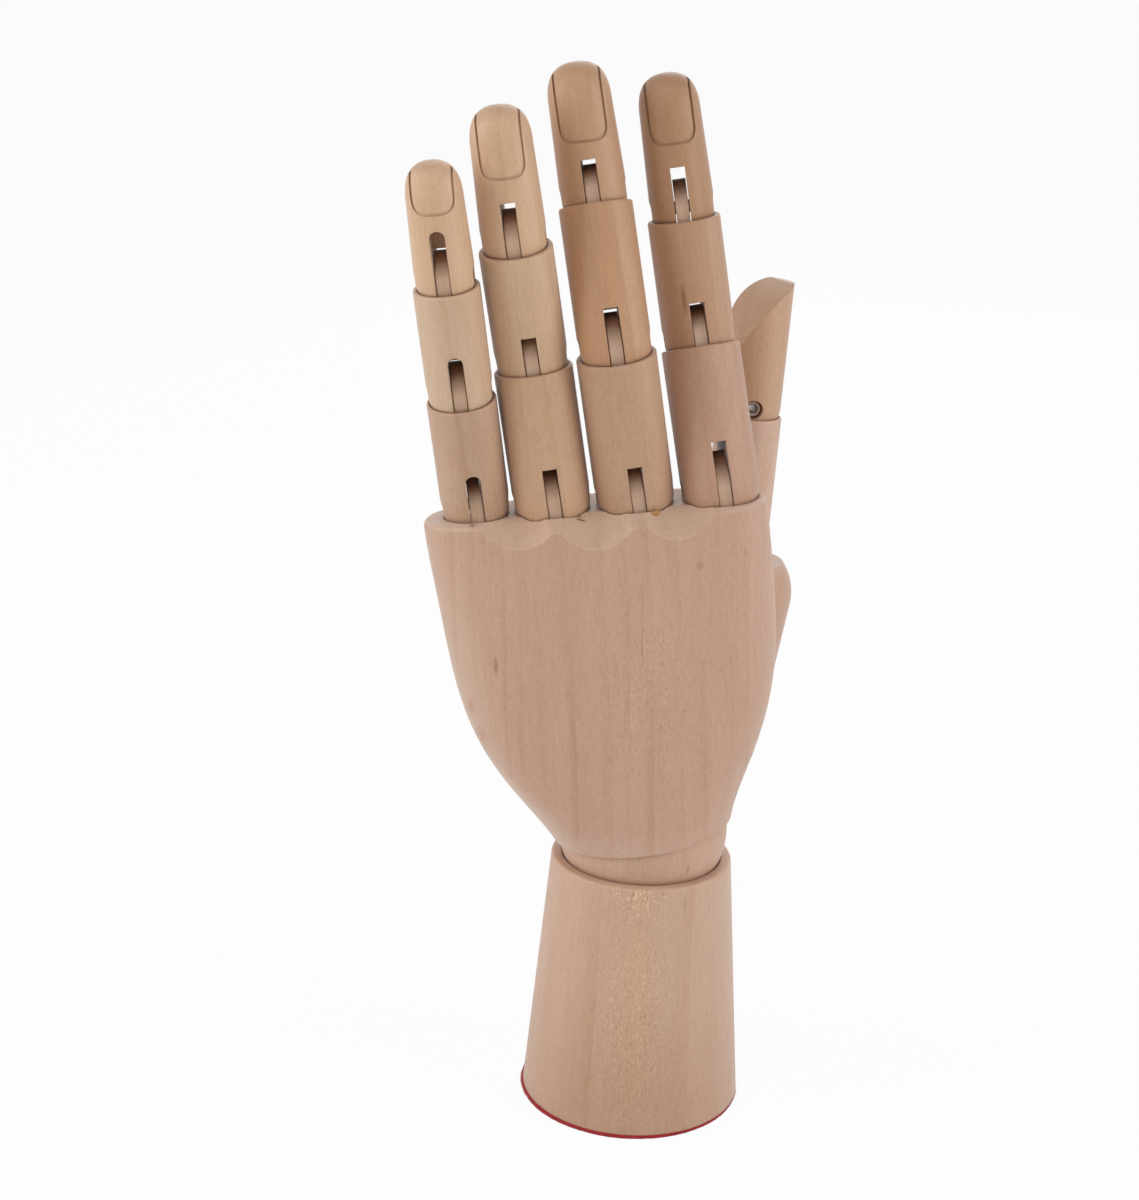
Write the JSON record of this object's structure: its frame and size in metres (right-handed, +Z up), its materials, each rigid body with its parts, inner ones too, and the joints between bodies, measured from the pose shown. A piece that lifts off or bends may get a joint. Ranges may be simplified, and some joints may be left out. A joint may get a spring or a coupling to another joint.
{
  "type": "jointed wooden hand",
  "caption": "Jointed wooden hand on a turned foot, with riveted finger segments, a sprung ball wrist and a felt-faced base, posed by hand as a drawing model.",
  "frame": {"origin": "centre of the felt's underside, on the foot's turning axis", "axes": "+Z up, the back of the hand faces -Y, the palm +Y, and the thumb is on the +X side"},
  "size_m": [0.0919, 0.0709, 0.25],
  "materials": {
    "palm_wood": "fine sanded, unvarnished",
    "base_wood": "fine sanded, unvarnished",
    "ball_wood": "fine sanded, unvarnished",
    "tongue_wood": "fine sanded, unvarnished",
    "pinky_wood": "fine sanded, unvarnished",
    "ring_wood": "fine sanded, unvarnished",
    "middle_wood": "fine sanded, unvarnished",
    "index_wood": "fine sanded, unvarnished",
    "thumb_wood": "fine sanded, unvarnished",
    "felt": "short felt pile",
    "rivet_steel": "plain tubular rivet",
    "spring_steel": "plain drawn wire"
  },
  "bodies": {
    "base": {"base_cone": "base_wood", "felt_pad": "felt", "base_spring_pin": "spring_steel"},
    "wrist_ball": {"wrist_ball": "ball_wood"},
    "wrist_spring": {"wrist_spring": "spring_steel"},
    "palm": {"palm": "palm_wood", "palm_spring_pin": "spring_steel", "thumb_base_tongue": "tongue_wood", "pinky_knuckle_tongue": "tongue_wood", "ring_knuckle_tongue": "tongue_wood", "middle_knuckle_tongue": "tongue_wood", "index_knuckle_tongue": "tongue_wood"},
    "pinky_proximal": {"pinky_proximal": "pinky_wood", "pinky_knuckle_rivet": "rivet_steel", "pinky_mid_tongue": "tongue_wood"},
    "pinky_middle": {"pinky_middle": "pinky_wood", "pinky_mid_rivet": "rivet_steel", "pinky_tip_tongue": "tongue_wood"},
    "pinky_distal": {"pinky_distal": "pinky_wood", "pinky_tip_rivet": "rivet_steel"},
    "ring_proximal": {"ring_proximal": "ring_wood", "ring_knuckle_rivet": "rivet_steel", "ring_mid_tongue": "tongue_wood"},
    "ring_middle": {"ring_middle": "ring_wood", "ring_mid_rivet": "rivet_steel", "ring_tip_tongue": "tongue_wood"},
    "ring_distal": {"ring_distal": "ring_wood", "ring_tip_rivet": "rivet_steel"},
    "middle_proximal": {"middle_proximal": "middle_wood", "middle_knuckle_rivet": "rivet_steel", "middle_mid_tongue": "tongue_wood"},
    "middle_middle": {"middle_middle": "middle_wood", "middle_mid_rivet": "rivet_steel", "middle_tip_tongue": "tongue_wood"},
    "middle_distal": {"middle_distal": "middle_wood", "middle_tip_rivet": "rivet_steel"},
    "index_proximal": {"index_proximal": "index_wood", "index_knuckle_rivet": "rivet_steel", "index_mid_tongue": "tongue_wood"},
    "index_middle": {"index_middle": "index_wood", "index_mid_rivet": "rivet_steel", "index_tip_tongue": "tongue_wood"},
    "index_distal": {"index_distal": "index_wood", "index_tip_rivet": "rivet_steel"},
    "thumb_proximal": {"thumb_proximal": "thumb_wood", "thumb_base_rivet": "rivet_steel", "thumb_tip_tongue": "tongue_wood"},
    "thumb_distal": {"thumb_distal": "thumb_wood", "thumb_tip_rivet": "rivet_steel"}
  },
  "joints": [
    {"name": "wrist_tilt", "type": "hinge", "parent": "base", "child": "wrist_ball", "pos_m": [0, 0, 0.0705], "axis": [0, 1, 0], "range_deg": [-6.6, 25.4], "deforming": ["wrist_spring"]},
    {"name": "wrist_flex", "type": "hinge", "parent": "wrist_ball", "child": "wrist_spring", "pos_m": [0, 0, 0.0705], "axis": [0.9828, 0.0872, 0.1627], "range_deg": [-12, 12], "deforming": ["wrist_spring"]},
    {"name": "wrist_swivel", "type": "hinge", "parent": "wrist_spring", "child": "palm", "pos_m": [0, 0, 0.0705], "axis": [-0.1633, 0, 0.9866], "range_deg": [-60, 60], "deforming": ["wrist_spring"]},
    {"name": "pinky_knuckle", "type": "hinge", "parent": "palm", "child": "pinky_proximal", "pos_m": [-0.04249, -0.00253, 0.15], "axis": [-0.9778, -0.1392, -0.1566], "range_deg": [-7, 83]},
    {"name": "pinky_mid", "type": "hinge", "parent": "pinky_proximal", "child": "pinky_middle", "pos_m": [-0.04605, -0.00896, 0.17796], "axis": [-0.9863, -0.08, -0.1441], "range_deg": [-22, 68]},
    {"name": "pinky_tip", "type": "hinge", "parent": "pinky_middle", "child": "pinky_distal", "pos_m": [-0.04947, -0.01402, 0.20415], "axis": [-0.9909, -0.0201, -0.1331], "range_deg": [-21, 54]},
    {"name": "ring_knuckle", "type": "hinge", "parent": "palm", "child": "ring_proximal", "pos_m": [-0.02495, -0.00099, 0.15181], "axis": [-0.9749, -0.1392, -0.1738], "range_deg": [-17, 73]},
    {"name": "ring_mid", "type": "hinge", "parent": "ring_proximal", "child": "ring_middle", "pos_m": [-0.03058, -0.00276, 0.18479], "axis": [-0.982, -0.0785, -0.1717], "range_deg": [-11, 79]},
    {"name": "ring_tip", "type": "hinge", "parent": "ring_middle", "child": "ring_distal", "pos_m": [-0.03495, -0.00873, 0.21252], "axis": [-0.987, -0.0189, -0.1597], "range_deg": [-30, 45]},
    {"name": "middle_knuckle", "type": "hinge", "parent": "palm", "child": "middle_proximal", "pos_m": [-0.00592, 0.00068, 0.15377], "axis": [-0.9733, -0.1392, -0.1823], "range_deg": [-13, 77]},
    {"name": "middle_mid", "type": "hinge", "parent": "middle_proximal", "child": "middle_middle", "pos_m": [-0.01186, -0.00371, 0.18881], "axis": [-0.9812, -0.0789, -0.1761], "range_deg": [-38, 52]},
    {"name": "middle_tip", "type": "hinge", "parent": "middle_middle", "child": "middle_distal", "pos_m": [-0.01822, 0.00269, 0.22138], "axis": [-0.982, -0.019, -0.188], "range_deg": [-10, 65]},
    {"name": "index_knuckle", "type": "hinge", "parent": "palm", "child": "index_proximal", "pos_m": [0.0138, 0.00241, 0.15581], "axis": [-0.9761, -0.1392, -0.1669], "range_deg": [-32, 32]},
    {"name": "index_mid", "type": "hinge", "parent": "index_proximal", "child": "index_middle", "pos_m": [0.00709, 0.00954, 0.1891], "axis": [-0.9803, -0.0798, -0.1805], "range_deg": [-8, 82]},
    {"name": "index_tip", "type": "hinge", "parent": "index_middle", "child": "index_distal", "pos_m": [0.0017, 0.00948, 0.21841], "axis": [-0.9833, -0.0188, -0.1809], "range_deg": [-21, 54]},
    {"name": "thumb_base", "type": "hinge", "parent": "palm", "child": "thumb_proximal", "pos_m": [0.0192, 0.03267, 0.13368], "axis": [-0.086, 0.9962, -0.0142], "range_deg": [-25, 35]},
    {"name": "thumb_tip", "type": "hinge", "parent": "thumb_proximal", "child": "thumb_distal", "pos_m": [0.02075, 0.03331, 0.16844], "axis": [-0.086, 0.9962, -0.0142], "range_deg": [-60, 15]}
  ]
}
